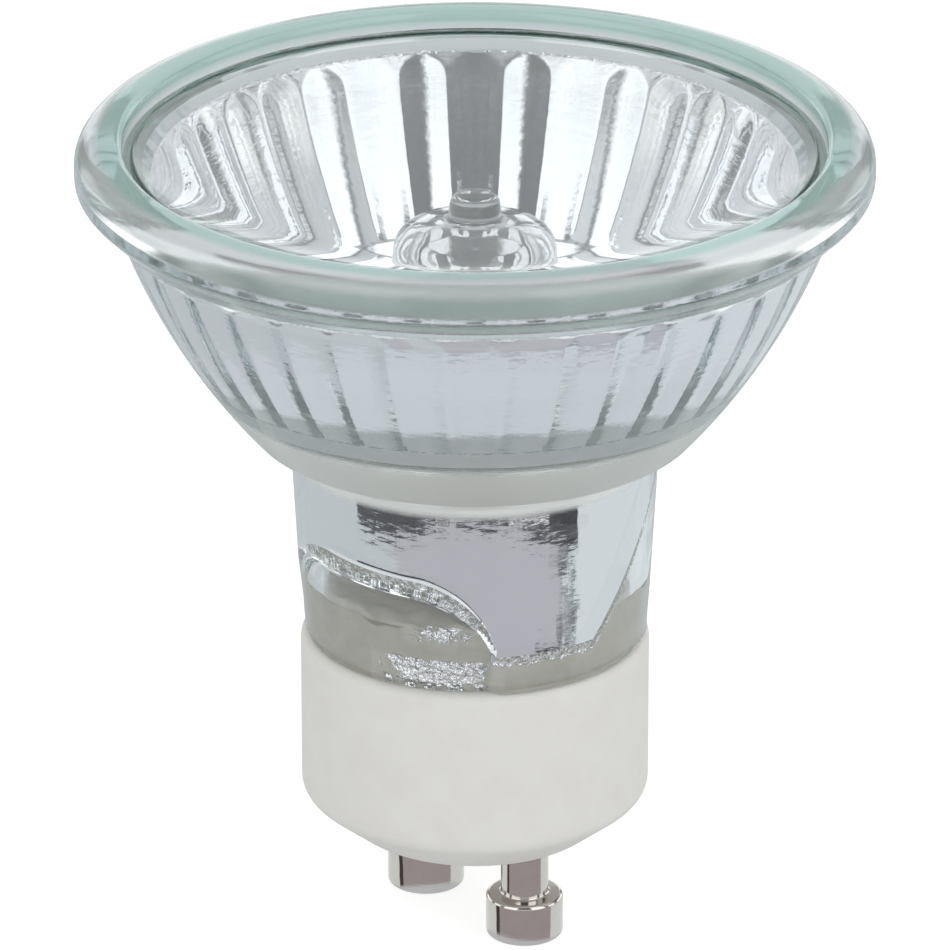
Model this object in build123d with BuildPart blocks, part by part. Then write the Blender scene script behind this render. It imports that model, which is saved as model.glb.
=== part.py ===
from build123d import *
import os
from math import cos, radians, sin, sqrt

# Halogen reflector lamp with a twist-lock base of two headed pins, in millimetres, +Z up.
# The lamp stands on its pin heads: the origin is on its axis, in the plane of the pin ends.
# The pins lie on X. The reflector opens upwards.

# Contact pins
pin_spacing = 10.0
pin_head_d = 5.0
pin_head_h = 2.9
pin_edge = 0.3
pin_shank_d = 3.1
pin_reach = 6.6
pin_stem_d = 2.4
pin_stem_gap = 0.05
rivet_d = 3.8
rivet_h = 0.6
lead_hole_gap = 0.1
lead_hole_depth = 4.0

# Ceramic base
base_d = 22.5
base_h = 13.5
base_foot_d = 16.0
base_slope_h = 2.6
base_floor = 3.4
base_wall = 1.4
base_lip_round = 0.65
base_edge_round = 1.2

# Neck of the reflector, a tapered tube that stands on the base's lip
neck_h = 14.6
neck_inset = 0.15
neck_flare = 0.8
neck_wall = 1.3
neck_edge_round = 0.35
neck_root_round = 1.9

# Two grooves around the neck, open towards the base, each a ramp that sinks from its mouth to its stop
groove_count = 2
groove_span = 106.0
groove_stop_angle = 329.0
groove_mouth_h = 7.9
groove_mouth_depth = 0.12
groove_mouth_round = 7.6
groove_stop_h = 7.0
groove_stop_depth = 0.65
groove_stop_round = 6.2
groove_wall_slope = 1.6
groove_sections = 12
groove_overrun = 0.5

# Bowl of the reflector, an arc outside and rounded reeds inside
bowl_h = 14.1
bowl_step = 2.5
bowl_curve_r = 43.0
bowl_wall = 3.0
bowl_floor = 4.1
bowl_edge_round = 0.4
reed_count = 36
reed_depth = 0.19
reed_runout = 1.8
reed_blunt = 0.03
reed_sections = 5
reed_overrun = 0.5
foot_ring_h = 1.2
foot_ring_step = 0.1

# Rim of the reflector, with the seat of the cover glass
rim_d = 50.7
rim_overhang = 2.63
rim_slope_h = 2.6
rim_wall_h = 2.6
rim_ring = 3.05
rim_top_round = 1.6
rim_inner_round = 0.5
rim_under_round = 0.8
rim_root_round = 0.5
seat_depth = 2.9
seat_land_h = 0.6
seat_grip = 0.85

# Cover glass and the bead that bonds it
cover_t = 2.0
cover_edge = 0.25
bead_w = 0.5
bead_h = 1.6

# Quartz capsule
capsule_d = 10.4
capsule_wall = 1.0
capsule_tube_h = 12.3
dome_h = 1.3
dome_round = 1.6
tip_d = 3.4
tip_h = 1.5
tip_round = 0.7
throat_h = 2.6
pinch_w = 8.8
pinch_t = 3.4
pinch_h = 11.5
pinch_round = 0.9
pinch_sink = 5.2

# Filament, its support and the seals in the pinch
coil_d = 0.9
coil_leg_h = 7.0
coil_clear_h = 2.8
leg_d = 0.4
support_d = 0.35
support_gap = 0.05
support_grip = 2.0
foil_spacing = 4.6
foil_w = 2.6
foil_t = 0.08
foil_h = 7.0
foil_foot_h = 2.0
lead_d = 0.8
lead_bend_r = 2.0
lead_straight = 1.5

# Cement in the base and the lower neck
cement_head_h = 4.6
cement_floor_gap = 1.5

# Levels along the axis
z_base = pin_reach
z_lip = z_base + base_h
z_cavity = z_base + base_floor
z_rivet = z_cavity + rivet_h
z_bowl = z_lip + neck_h
z_floor = z_bowl + bowl_floor
z_foot_ring = z_floor + foot_ring_h
z_rim = z_bowl + bowl_h
z_rim_wall = z_rim + rim_slope_h
z_top = z_rim_wall + rim_wall_h
z_seat = z_top - seat_depth
z_reed_top = z_seat - seat_land_h
z_runout = z_reed_top - reed_runout
z_cement_head = z_lip + cement_head_h
z_cement_foot = z_rivet + cement_floor_gap
z_pinch = z_cement_head - pinch_sink
z_pinch_head = z_pinch + pinch_h
z_tube = z_pinch_head + throat_h
z_dome = z_tube + capsule_tube_h
z_dome_top = z_dome + dome_h
z_gas_dome = z_dome - capsule_wall
z_gas_head = z_dome_top - capsule_wall
z_foil = z_pinch + foil_foot_h
z_foil_head = z_foil + foil_h
z_coil = z_pinch_head + coil_clear_h
z_coil_head = z_coil + coil_leg_h
z_lead_foot = z_rivet - lead_hole_depth

# Radii that follow from the sizes above
base_r = base_d / 2
cavity_r = base_r - base_wall
neck_foot_r = base_r - neck_inset
neck_head_r = neck_foot_r + neck_flare
bore_r = neck_foot_r - neck_wall
bowl_foot_r = neck_head_r + bowl_step
rim_r = rim_d / 2
bowl_head_r = rim_r - rim_overhang
seat_r = rim_r - rim_ring
cover_r = seat_r - bead_w
capsule_r = capsule_d / 2
capsule_in_r = capsule_r - capsule_wall
foil_x = foil_spacing / 2
pin_x = pin_spacing / 2
lead_hole_r = lead_d / 2 + lead_hole_gap

# Centre of the arc that shapes the outside of the bowl, in the plane of the profile
chord_r = bowl_head_r - bowl_foot_r
chord = sqrt(chord_r**2 + bowl_h**2)
arc_back = sqrt(bowl_curve_r**2 - chord**2 / 4)
arc_centre_r = (bowl_foot_r + bowl_head_r) / 2 - arc_back * bowl_h / chord
arc_centre_z = (z_bowl + z_rim) / 2 + arc_back * chord_r / chord


def bowl_radius(z, depth):
    """Radius of the surface that lies depth inside the bowl's outer face, at height z."""
    return arc_centre_r + sqrt((bowl_curve_r - depth) ** 2 - (z - arc_centre_z) ** 2)


def neck_radius(z):
    """Outer radius of the tapered neck at height z."""
    return neck_foot_r + (neck_head_r - neck_foot_r) * (z - z_lip) / neck_h


def around(radius, angle):
    """Point on a circle about the axis, the angle in degrees."""
    return (radius * cos(radians(angle)), radius * sin(radians(angle)))


def dome_curve(radius, height):
    """Radius of the sphere whose cap has the given radius and height."""
    return (radius**2 + height**2) / (2 * height)


def corner_drop(distance, radius):
    """How far a round corner lies below the straight edge, at a distance from the corner's end."""
    return radius - sqrt(radius**2 - max(0, radius - distance) ** 2)


def round_corner(sketch, point, radius):
    """Round the corner of a profile that lies at the given point."""
    fillet(sketch.vertices().sort_by_distance(point)[0], radius)


# Points of the bowl's section
bowl_foot = (bowl_foot_r, z_bowl)
rim_root = (bowl_head_r, z_rim)
ring_depth = bowl_wall + reed_depth + foot_ring_step
floor_corner = (bowl_radius(z_floor, ring_depth), z_floor)
ring_head = (bowl_radius(z_foot_ring, ring_depth), z_foot_ring)
land_foot = (bowl_radius(z_foot_ring + foot_ring_step, bowl_wall), z_foot_ring + foot_ring_step)
land_head = (bowl_radius(z_reed_top, bowl_wall), z_reed_top)

# Plunger that presses the hollow of the bowl: a plain ring at the foot, reeds that run out, then the land
reed_step = 360 / reed_count
reed_foot = z_floor - reed_overrun
reed_levels = [reed_foot + (z_runout - reed_foot) * i / (reed_sections - 1) for i in range(reed_sections)]
reed_levels += [z_runout + reed_runout / 2, z_reed_top, z_seat + reed_overrun]
with BuildPart() as plunger:
    for z in reed_levels:
        spread = reed_depth * max(0, (z - z_runout) / reed_runout) ** 2
        valley = bowl_radius(z, bowl_wall) + reed_blunt + spread
        crest = bowl_radius(z, bowl_wall + reed_depth) + spread
        with BuildSketch(Plane.XY.offset(z)):
            with BuildLine():
                for k in range(reed_count):
                    start = around(valley, (k - 0.5) * reed_step)
                    middle = around(crest, k * reed_step)
                    end = around(valley, (k + 0.5) * reed_step)
                    ThreePointArc(start, middle, end)
            make_face()
    loft()
    with BuildSketch(Plane.XZ):
        with BuildLine():
            Polyline((0, z_seat), (0, z_floor), floor_corner)
            RadiusArc(floor_corner, ring_head, -(bowl_curve_r - ring_depth))
            Line(ring_head, land_foot)
            RadiusArc(land_foot, land_head, -(bowl_curve_r - bowl_wall))
            Polyline(land_head, (cover_r - seat_grip, z_seat), (0, z_seat))
        make_face()
    revolve(axis=Axis.Z, mode=Mode.INTERSECT)

# Cutter for one groove: radial sections from the mouth to the stop, with a round corner at each end
mouth_round = min(groove_mouth_round, groove_mouth_h)
stop_round = min(groove_stop_round, groove_stop_h)
groove_length = radians(groove_span) * neck_foot_r
groove_foot = z_lip - groove_overrun
groove_outside = neck_head_r + groove_overrun
with BuildPart() as groove:
    for i in range(groove_sections + 1):
        along = (1 - cos(radians(180 * i / groove_sections))) / 2
        drop = corner_drop(along * groove_length, mouth_round)
        drop += corner_drop((1 - along) * groove_length, stop_round)
        edge = z_lip + groove_mouth_h + (groove_stop_h - groove_mouth_h) * along - drop
        depth = groove_mouth_depth + (groove_stop_depth - groove_mouth_depth) * along
        wall_foot = edge - groove_wall_slope * depth
        wall_head = edge + groove_wall_slope * (groove_outside - neck_radius(edge))
        angle = groove_stop_angle - groove_span * (1 - along)
        with BuildSketch(Plane((0, 0, 0), x_dir=(*around(1, angle), 0), z_dir=(*around(1, angle - 90), 0))):
            with BuildLine():
                Polyline(
                    (neck_radius(groove_foot) - depth, groove_foot),
                    (groove_outside, groove_foot),
                    (groove_outside, wall_head),
                    (neck_radius(wall_foot) - depth, wall_foot),
                    close=True,
                )
            make_face()
    loft()

# Reflector: rim, bowl and neck are one pressed piece of glass
with BuildPart() as reflector:
    with BuildSketch(Plane.XZ) as wall:
        with BuildLine():
            Polyline(
                (bore_r, z_lip),
                (neck_foot_r, z_lip),
                (neck_head_r, z_bowl),
                bowl_foot,
            )
            RadiusArc(bowl_foot, rim_root, -bowl_curve_r)
            Polyline(
                rim_root,
                (rim_r, z_rim_wall),
                (rim_r, z_top),
                (seat_r, z_top),
                (seat_r, z_seat),
                (bore_r, z_seat),
                (bore_r, z_lip),
            )
        make_face()
        round_corner(wall, (neck_foot_r, z_lip), neck_edge_round)
        round_corner(wall, (neck_head_r, z_bowl), neck_root_round)
        round_corner(wall, bowl_foot, bowl_edge_round)
        round_corner(wall, rim_root, rim_root_round)
        round_corner(wall, (rim_r, z_rim_wall), rim_under_round)
        round_corner(wall, (rim_r, z_top), rim_top_round)
        round_corner(wall, (seat_r, z_top), rim_inner_round)
    revolve(axis=Axis.Z)
    add(plunger.part, mode=Mode.SUBTRACT)
    with PolarLocations(0, groove_count):
        add(groove.part, mode=Mode.SUBTRACT)
reflector.part.label = "reflector"

# Cover glass: a flat disc on the seat, with its edges ground off
with BuildPart() as cover_glass:
    with BuildSketch(Plane.XY.offset(z_seat)):
        Circle(cover_r)
    extrude(amount=cover_t)
    chamfer(cover_glass.edges(), cover_edge)
cover_glass.part.label = "cover_glass"

# Bead of clear adhesive in the gap between the cover glass and the rim
with BuildPart() as cover_bead:
    with BuildSketch(Plane.XY.offset(z_seat)):
        Circle(seat_r)
        Circle(cover_r, mode=Mode.SUBTRACT)
    extrude(amount=bead_h)
cover_bead.part.label = "cover_bead"

# Filament: two coiled limbs joined by an arch, on straight legs that end on the foils
with BuildPart() as filament:
    with BuildLine():
        Line((-foil_x, 0, z_coil), (-foil_x, 0, z_coil_head))
        ThreePointArc((-foil_x, 0, z_coil_head), (0, 0, z_coil_head + foil_x), (foil_x, 0, z_coil_head))
        Line((foil_x, 0, z_coil_head), (foil_x, 0, z_coil))
    with BuildSketch(Plane.XY.offset(z_coil)):
        with Locations((-foil_x, 0)):
            Circle(coil_d / 2)
    sweep()
    with BuildSketch(Plane.XY.offset(z_foil_head)):
        with GridLocations(foil_spacing, 0, 2, 1):
            Circle(leg_d / 2)
    extrude(amount=z_coil - z_foil_head)
filament.part.label = "filament"

# Support: a wire gripped by the pinch, with a ring around the filament's arch
ring_r = coil_d / 2 + support_gap + support_d / 2
z_ring = z_coil_head + foil_x
with BuildPart() as filament_support:
    with Locations(Plane((0, 0, z_ring), x_dir=(0, 1, 0), z_dir=(1, 0, 0))):
        Torus(ring_r, support_d / 2)
    with BuildSketch(Plane.XY.offset(z_pinch_head - support_grip)):
        Circle(support_d / 2)
    extrude(amount=z_ring - ring_r - z_pinch_head + support_grip)
filament_support.part.label = "filament_support"

# Foils sealed in the pinch, and the leads that run from them into the pins
foils = {}
leads = {}
for side, sign in (("left", -1), ("right", 1)):
    with BuildPart() as foil:
        with BuildSketch(Plane.XY.offset(z_foil)):
            with Locations((sign * foil_x, 0)):
                Rectangle(foil_w, foil_t)
        extrude(amount=foil_h)
    foil.part.label = f"foil_{side}"
    foils[side] = foil.part

    with BuildPart() as lead:
        with BuildLine():
            FilletPolyline(
                (sign * foil_x, 0, z_foil),
                (sign * foil_x, 0, z_pinch - lead_straight),
                (sign * pin_x, 0, z_rivet + lead_straight),
                (sign * pin_x, 0, z_lead_foot),
                radius=lead_bend_r,
            )
        with BuildSketch(Plane.XY.offset(z_foil)):
            with Locations((sign * foil_x, 0)):
                Circle(lead_d / 2)
        sweep()
    lead.part.label = f"lead_{side}"
    leads[side] = lead.part

# Capsule: a quartz tube with a domed end and a sealed exhaust tip, pressed flat around the foils
with BuildPart() as gas_space:
    with BuildSketch(Plane.XZ) as inside:
        with BuildLine():
            Polyline((0, z_gas_head), (0, z_tube), (capsule_in_r, z_tube), (capsule_in_r, z_gas_dome))
            RadiusArc((capsule_in_r, z_gas_dome), (0, z_gas_head), -dome_curve(capsule_in_r, dome_h))
        make_face()
        round_corner(inside, (capsule_in_r, z_gas_dome), dome_round * capsule_in_r / capsule_r)
    revolve(axis=Axis.Z)
    with BuildSketch(Plane.XY.offset(z_tube)):
        Circle(capsule_in_r)
    with BuildSketch(Plane.XY.offset(z_pinch_head)):
        Ellipse(pinch_w / 2 - capsule_wall, pinch_t / 2 - capsule_wall)
    loft()

with BuildPart() as capsule:
    with BuildSketch(Plane.XZ) as outside:
        with BuildLine():
            Polyline((0, z_dome_top), (0, z_tube), (capsule_r, z_tube), (capsule_r, z_dome))
            RadiusArc((capsule_r, z_dome), (0, z_dome_top), -dome_curve(capsule_r, dome_h))
        make_face()
        round_corner(outside, (capsule_r, z_dome), dome_round)
    revolve(axis=Axis.Z)
    with BuildSketch(Plane.XY.offset(z_tube)):
        Circle(capsule_r)
    with BuildSketch(Plane.XY.offset(z_pinch_head)):
        Ellipse(pinch_w / 2, pinch_t / 2)
    loft()
    with BuildSketch(Plane.XY.offset(z_pinch)):
        RectangleRounded(pinch_w, pinch_t, pinch_round)
    extrude(amount=pinch_h)
    with BuildSketch(Plane.XY.offset(z_gas_head)):
        Circle(tip_d / 2)
    extrude(amount=tip_h + capsule_wall)
    fillet(capsule.edges().sort_by(Axis.Z)[-1], tip_round)
    add(gas_space.part, mode=Mode.SUBTRACT)
    add(filament.part, mode=Mode.SUBTRACT)
    add(filament_support.part, mode=Mode.SUBTRACT)
    for side in foils:
        add(foils[side], mode=Mode.SUBTRACT)
        add(leads[side], mode=Mode.SUBTRACT)
capsule.part.label = "capsule"

# Cement: fills the base above the rivets and the foot of the neck, around the pinch and the leads
with BuildPart() as cement:
    with BuildSketch(Plane.XY.offset(z_cement_foot)):
        Circle(cavity_r)
    extrude(amount=z_lip - z_cement_foot)
    with BuildSketch(Plane.XY.offset(z_lip)):
        Circle(bore_r)
    extrude(amount=z_cement_head - z_lip)
    with BuildSketch(Plane.XY.offset(z_pinch)):
        RectangleRounded(pinch_w, pinch_t, pinch_round)
    extrude(amount=pinch_h, mode=Mode.SUBTRACT)
    for side in leads:
        add(leads[side], mode=Mode.SUBTRACT)
cement.part.label = "cement"

# Ceramic base: a cup with a sloped foot, two holes for the pins and a rounded lip under the neck
with BuildPart() as base:
    with BuildSketch(Plane.XZ) as cup:
        with BuildLine():
            Polyline(
                (0, z_base),
                (base_foot_d / 2, z_base),
                (base_r, z_base + base_slope_h),
                (base_r, z_lip),
                (cavity_r, z_lip),
                (cavity_r, z_cavity),
                (0, z_cavity),
                close=True,
            )
        make_face()
        round_corner(cup, (base_foot_d / 2, z_base), base_edge_round)
        round_corner(cup, (base_r, z_base + base_slope_h), base_edge_round)
        round_corner(cup, (base_r, z_lip), base_lip_round)
    revolve(axis=Axis.Z)
    with BuildSketch(Plane.XY.offset(z_base)):
        with GridLocations(pin_spacing, 0, 2, 1):
            Circle(pin_stem_d / 2 + pin_stem_gap)
    extrude(amount=base_floor, mode=Mode.SUBTRACT)
base.part.label = "base"

# Contact pins: turned, with a head, a shank that shoulders on the base and a stem riveted inside it
pins = {}
for side, sign in (("left", -1), ("right", 1)):
    with BuildPart() as pin:
        with BuildSketch(Plane((sign * pin_x, 0, 0), x_dir=(1, 0, 0), z_dir=(0, -1, 0))):
            with BuildLine():
                Polyline(
                    (0, 0),
                    (pin_head_d / 2 - pin_edge, 0),
                    (pin_head_d / 2, pin_edge),
                    (pin_head_d / 2, pin_head_h - pin_edge),
                    (pin_head_d / 2 - pin_edge, pin_head_h),
                    (pin_shank_d / 2, pin_head_h),
                    (pin_shank_d / 2, z_base),
                    (pin_stem_d / 2, z_base),
                    (pin_stem_d / 2, z_cavity),
                    (rivet_d / 2, z_cavity),
                    (rivet_d / 2, z_rivet),
                    (lead_hole_r, z_rivet),
                    (lead_hole_r, z_lead_foot),
                    (0, z_lead_foot),
                    close=True,
                )
            make_face()
        revolve(axis=Axis((sign * pin_x, 0, 0), (0, 0, 1)))
    pin.part.label = f"contact_pin_{side}"
    pins[side] = pin.part

os.makedirs("parts", exist_ok=True)
pieces = [
    reflector.part,
    cover_glass.part,
    cover_bead.part,
    capsule.part,
    filament.part,
    filament_support.part,
    *foils.values(),
    *leads.values(),
    cement.part,
    base.part,
    *pins.values(),
]
for piece in pieces:
    export_step(piece, f"parts/{piece.label}.step")
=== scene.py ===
import logging
import math
from dataclasses import dataclass
from enum import Enum
from typing import Callable

import bpy
import numpy as np
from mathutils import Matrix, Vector, noise


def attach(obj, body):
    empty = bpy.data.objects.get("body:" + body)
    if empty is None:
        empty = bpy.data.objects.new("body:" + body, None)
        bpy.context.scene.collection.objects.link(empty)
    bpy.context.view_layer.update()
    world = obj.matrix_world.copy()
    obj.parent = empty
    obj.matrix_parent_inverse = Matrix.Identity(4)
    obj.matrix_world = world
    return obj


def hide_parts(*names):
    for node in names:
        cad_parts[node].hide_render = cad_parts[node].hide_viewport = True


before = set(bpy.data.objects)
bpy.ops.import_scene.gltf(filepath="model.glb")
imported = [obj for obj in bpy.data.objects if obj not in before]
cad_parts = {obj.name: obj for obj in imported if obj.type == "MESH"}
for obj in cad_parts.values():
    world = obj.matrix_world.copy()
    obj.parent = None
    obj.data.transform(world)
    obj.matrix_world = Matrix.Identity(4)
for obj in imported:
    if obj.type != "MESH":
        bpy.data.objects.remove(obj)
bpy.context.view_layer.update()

# Sizes are in millimetres, as in the part's source, and MM turns them into Blender's metres.
MM = 0.001
MERGE = 0.0005
TOUCH = 0.01
BODY = "root"
LOG = logging.getLogger("lamp")

Point = tuple[float, float]
Corner = tuple[float, float, float]
Colour = tuple[float, float, float, float]
Tree = bpy.types.NodeTree
Socket = bpy.types.NodeSocket
Piece = bpy.types.Object
WHITE: Colour = (1.0, 1.0, 1.0, 1.0)


class Coat(Enum):
    """Values of the attribute that says where the reflector carries its mirror film, in millimetres."""

    FILM = 2.0
    BARE = -2.0


def linear(code: str) -> Colour:
    """Turns an sRGB hex value into a linear colour.

    Args:
        code: The colour as "#RRGGBB".

    Returns:
        Linear red, green, blue and an alpha of 1.
    """
    parts = [int(code[i : i + 2], 16) / 255 for i in (1, 3, 5)]
    red, green, blue = (p / 12.92 if p <= 0.04045 else ((p + 0.055) / 1.055) ** 2.4 for p in parts)
    return (red, green, blue, 1.0)


def add_node(tree: Tree, kind: str, inputs: dict | None = None, **settings) -> bpy.types.Node:
    """Adds a node with its settings, its input values and its links.

    Args:
        tree: The node tree that gets the node.
        kind: The node's type name.
        inputs: Sockets by name or number, each with a value or with the output that feeds it.
        settings: The node's own properties.

    Returns:
        The new node.
    """
    node = tree.nodes.new(kind)
    for name, value in settings.items():
        setattr(node, name, value)
    for socket, value in (inputs or {}).items():
        if isinstance(value, Socket):
            tree.links.new(value, node.inputs[socket])
        else:
            node.inputs[socket].default_value = value
    return node


def new_material(name: str) -> tuple[bpy.types.Material, Tree, bpy.types.Node]:
    """Starts a material.

    Args:
        name: What the material is.

    Returns:
        The material, its node tree and its surface shader.
    """
    material = bpy.data.materials.new(name)
    material.use_nodes = True
    return material, material.node_tree, material.node_tree.nodes["Principled BSDF"]


def plug(tree: Tree, node: bpy.types.Node, sources: dict[str, Socket]) -> None:
    """Links outputs to the named inputs of a node."""
    for socket, source in sources.items():
        tree.links.new(source, node.inputs[socket])


def maths(tree: Tree, operation: str, *values: Socket | float, clamp: bool = False) -> Socket:
    """Result of a sum on one to three values."""
    inputs = dict(enumerate(values))
    return add_node(tree, "ShaderNodeMath", inputs, operation=operation, use_clamp=clamp).outputs[0]


def blend(tree: Tree, share: Socket, first: Colour | Socket, second: Colour | Socket) -> Socket:
    """Colour that goes from the first to the second with a share from 0 to 1."""
    return add_node(tree, "ShaderNodeMix", {0: share, 6: first, 7: second}, data_type="RGBA").outputs[2]


def spread(tree: Tree, value: Socket, low: float, high: float, first: float = 0.0, last: float = 1.0) -> Socket:
    """Maps a value from low to high onto first to last, and holds it there beyond them."""
    inputs = {"Value": value, "From Min": low, "From Max": high, "To Min": first, "To Max": last}
    return add_node(tree, "ShaderNodeMapRange", inputs).outputs[0]


def level(tree: Tree, measure: Socket, ends: Point, first: float = 0.0) -> Socket:
    """Share from first at one height or radius to 1 at another, in millimetres."""
    return spread(tree, measure, ends[0] * MM, ends[1] * MM, first)


def per_metre(size: float) -> float:
    """Texture scale that gives features of a size in millimetres."""
    return 1 / (size * MM)


def grain(tree: Tree, place: Socket, size: float, detail: float, roughness: float = 0.5) -> Socket:
    """Noise with features of a size in millimetres."""
    inputs = {"Vector": place, "Scale": per_metre(size), "Detail": detail, "Roughness": roughness}
    return add_node(tree, "ShaderNodeTexNoise", inputs).outputs["Fac"]


def tool_lines(tree: Tree, along: Socket, size: float, detail: float) -> Socket:
    """Noise that changes along one measure only, with features of a size in millimetres."""
    inputs = {"W": along, "Scale": per_metre(size), "Detail": detail}
    return add_node(tree, "ShaderNodeTexNoise", inputs, noise_dimensions="1D").outputs["Fac"]


def relief(tree: Tree, height: Socket, distance: float, strength: float = 1.0) -> Socket:
    """Normal of a surface that is uneven by a distance in millimetres."""
    inputs = {"Strength": strength, "Distance": distance * MM, "Height": height}
    return add_node(tree, "ShaderNodeBump", inputs).outputs[0]


def own_place(tree: Tree) -> Socket:
    """Place on a piece in the lamp's own frame."""
    return add_node(tree, "ShaderNodeTexCoord").outputs["Object"]


def from_axis(tree: Tree, place: Socket) -> Socket:
    """Distance of a place from the upright axis through the origin."""
    flat = stretched(tree, place, (1.0, 1.0, 0.0))
    return add_node(tree, "ShaderNodeVectorMath", {0: flat}, operation="LENGTH").outputs["Value"]


def stretched(tree: Tree, place: Socket, factors: Corner) -> Socket:
    """Place with each of its parts multiplied."""
    return add_node(tree, "ShaderNodeVectorMath", {0: place, 1: factors}, operation="MULTIPLY").outputs[0]


def absorb(tree: Tree, tint: str, density: float) -> None:
    """Colours light by the thickness of glass that it crosses."""
    depth = add_node(tree, "ShaderNodeVolumeAbsorption", {"Color": linear(tint), "Density": density})
    plug(tree, tree.nodes["Material Output"], {"Volume": depth.outputs[0]})


def fade(value: np.ndarray | float, low: float, high: float) -> np.ndarray:
    """Smooth step from 0 at low to 1 at high."""
    t = np.clip((np.asarray(value, float) - low) / (high - low), 0, 1)
    return t * t * (3 - 2 * t)


@dataclass(frozen=True)
class PressedGlass:
    """Soda-lime glass pressed in a mould, with an aluminium film evaporated on parts of its inside."""

    name: str = "mirrored_soda_lime_glass"
    body: str = "#FFFFFF"
    film: str = "#F4F4F6"
    tint: str = "#BFEFE4"
    tint_per_m: float = 9.0
    ior: float = 1.52
    film_rough: float = 0.03
    rim_rough: float = 0.1
    rim_at: Point = (48.9, 49.6)
    rim_line_size: float = 0.5
    rim_line_height: float = 0.004
    well_tint: str = "#C6EDE3"
    well_r: Point = (24.3, 23.7)
    lip_at: Point = (52.9, 53.4)
    lip_milk: float = 0.24
    foot_rough: float = 0.3
    foot_tint: str = "#F3F5F0"
    foot_milk: float = 0.45
    foot_at: Point = (38.4, 37.9)
    neck_at: Point = (32.9, 32.5)
    reeds_at: Point = (38.3, 38.9)
    fray: float = 0.9
    fray_size: float = 0.5
    fray_roughness: float = 0.65
    ripple_size: float = 1.6
    ripple_height: float = 0.004
    streak_size: float = 1.4
    streak_flatness: float = 3.0
    streak_height: float = 0.020
    bore_share: float = 0.12
    flake_size: float = 0.4
    flake_height: float = 0.3
    flake_at: Point = (0.1, 0.6)

    def mirrored(self, tree: Tree, place: Socket, coat: Socket) -> Socket:
        """Mask of the film, whose edge frays where it was masked: noise moves it up and down the glass.

        Args:
            tree: The material's nodes.
            place: Place on the glass.
            coat: Millimetres inside the film's edge.

        Returns:
            1 on the film and 0 on bare glass.
        """
        noisy = grain(tree, place, self.fray_size, 5.0, self.fray_roughness)
        shift = maths(tree, "MULTIPLY_ADD", noisy, self.fray, -self.fray / 2)
        return maths(tree, "GREATER_THAN", maths(tree, "ADD", coat, shift), 0.0)

    def uneven(self, tree: Tree, place: Socket, height: Socket, film: Socket, coat: Socket, rings: Socket) -> Socket:
        """Relief of the glass, in units of the ripple's height.

        Args:
            tree: The material's nodes.
            place: Place on the glass.
            height: Height of that place.
            film: Mask of the film.
            coat: Millimetres inside the film's edge.
            rings: Fine rings on the rim.

        Returns:
            The sum of ripple, streaks, flakes and rings.
        """
        # Pressed glass isn't quite even, so what it mirrors wavers a little, most of all in the reeds.
        total = grain(tree, place, self.ripple_size, 2.0)
        streak = grain(tree, stretched(tree, place, (1.0, 1.0, self.streak_flatness)), self.streak_size, 3.0)
        share = maths(tree, "MULTIPLY", level(tree, height, self.reeds_at, self.bore_share), film)
        streak = maths(tree, "MULTIPLY", streak, share)
        # Near its edge the film has lifted in flakes, which glint.
        near = maths(tree, "MULTIPLY", spread(tree, coat, *self.flake_at, 1.0, 0.0), film)
        flake = maths(tree, "MULTIPLY", grain(tree, place, self.flake_size, 2.0), near)
        parts = ((streak, self.streak_height), (flake, self.flake_height), (rings, self.rim_line_height))
        for part, size in parts:
            total = maths(tree, "MULTIPLY_ADD", part, size / self.ripple_height, total)
        return total

    def material(self) -> bpy.types.Material:
        """Builds the material. Clear glass looks green where it is thick, and the film behind it is a mirror.

        Returns:
            The material, which reads the mesh attribute "coat" for the film's edge.
        """
        material, tree, shader = new_material(self.name)
        place = own_place(tree)
        height = add_node(tree, "ShaderNodeSeparateXYZ", {0: place}).outputs[2]
        radius = from_axis(tree, place)
        coat = add_node(tree, "ShaderNodeAttribute", attribute_name="coat").outputs["Fac"]
        film = self.mirrored(tree, place, coat)
        # The rim and the bowl's foot carry the skin of the mould and blur what shows through them.
        rim = level(tree, height, self.rim_at)
        lip = level(tree, height, self.lip_at)
        below = level(tree, height, self.neck_at)
        foot = maths(tree, "SUBTRACT", level(tree, height, self.foot_at), below, clamp=True)
        skin = maths(tree, "MULTIPLY_ADD", rim, self.rim_rough, maths(tree, "MULTIPLY", foot, self.foot_rough))
        rough = add_node(tree, "ShaderNodeMix", {0: film, 2: skin, 3: self.film_rough}, data_type="FLOAT")
        clear = maths(tree, "MULTIPLY_ADD", foot, -self.foot_milk, 1.0)
        clear = maths(tree, "MULTIPLY_ADD", lip, -self.lip_milk, clear)
        # The lip of the well for the cover glass gathers the colour of the whole rim.
        well = maths(tree, "MULTIPLY", level(tree, radius, self.well_r), lip)
        body = blend(tree, foot, linear(self.body), linear(self.foot_tint))
        body = blend(tree, well, body, linear(self.well_tint))
        # The tool that cut the mould's rim left fine rings.
        rings = tool_lines(tree, maths(tree, "SUBTRACT", radius, height), self.rim_line_size, 2.0)
        rings = maths(tree, "MULTIPLY", rings, rim)
        uneven = self.uneven(tree, place, height, film, coat, rings)
        sources = {"Base Color": blend(tree, film, body, linear(self.film)), "Metallic": film}
        sources |= {"Roughness": rough.outputs[0], "Transmission Weight": clear}
        sources |= {"Normal": relief(tree, uneven, self.ripple_height)}
        plug(tree, shader, sources)
        shader.inputs["IOR"].default_value = self.ior
        absorb(tree, self.tint, self.tint_per_m)
        return material


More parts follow.
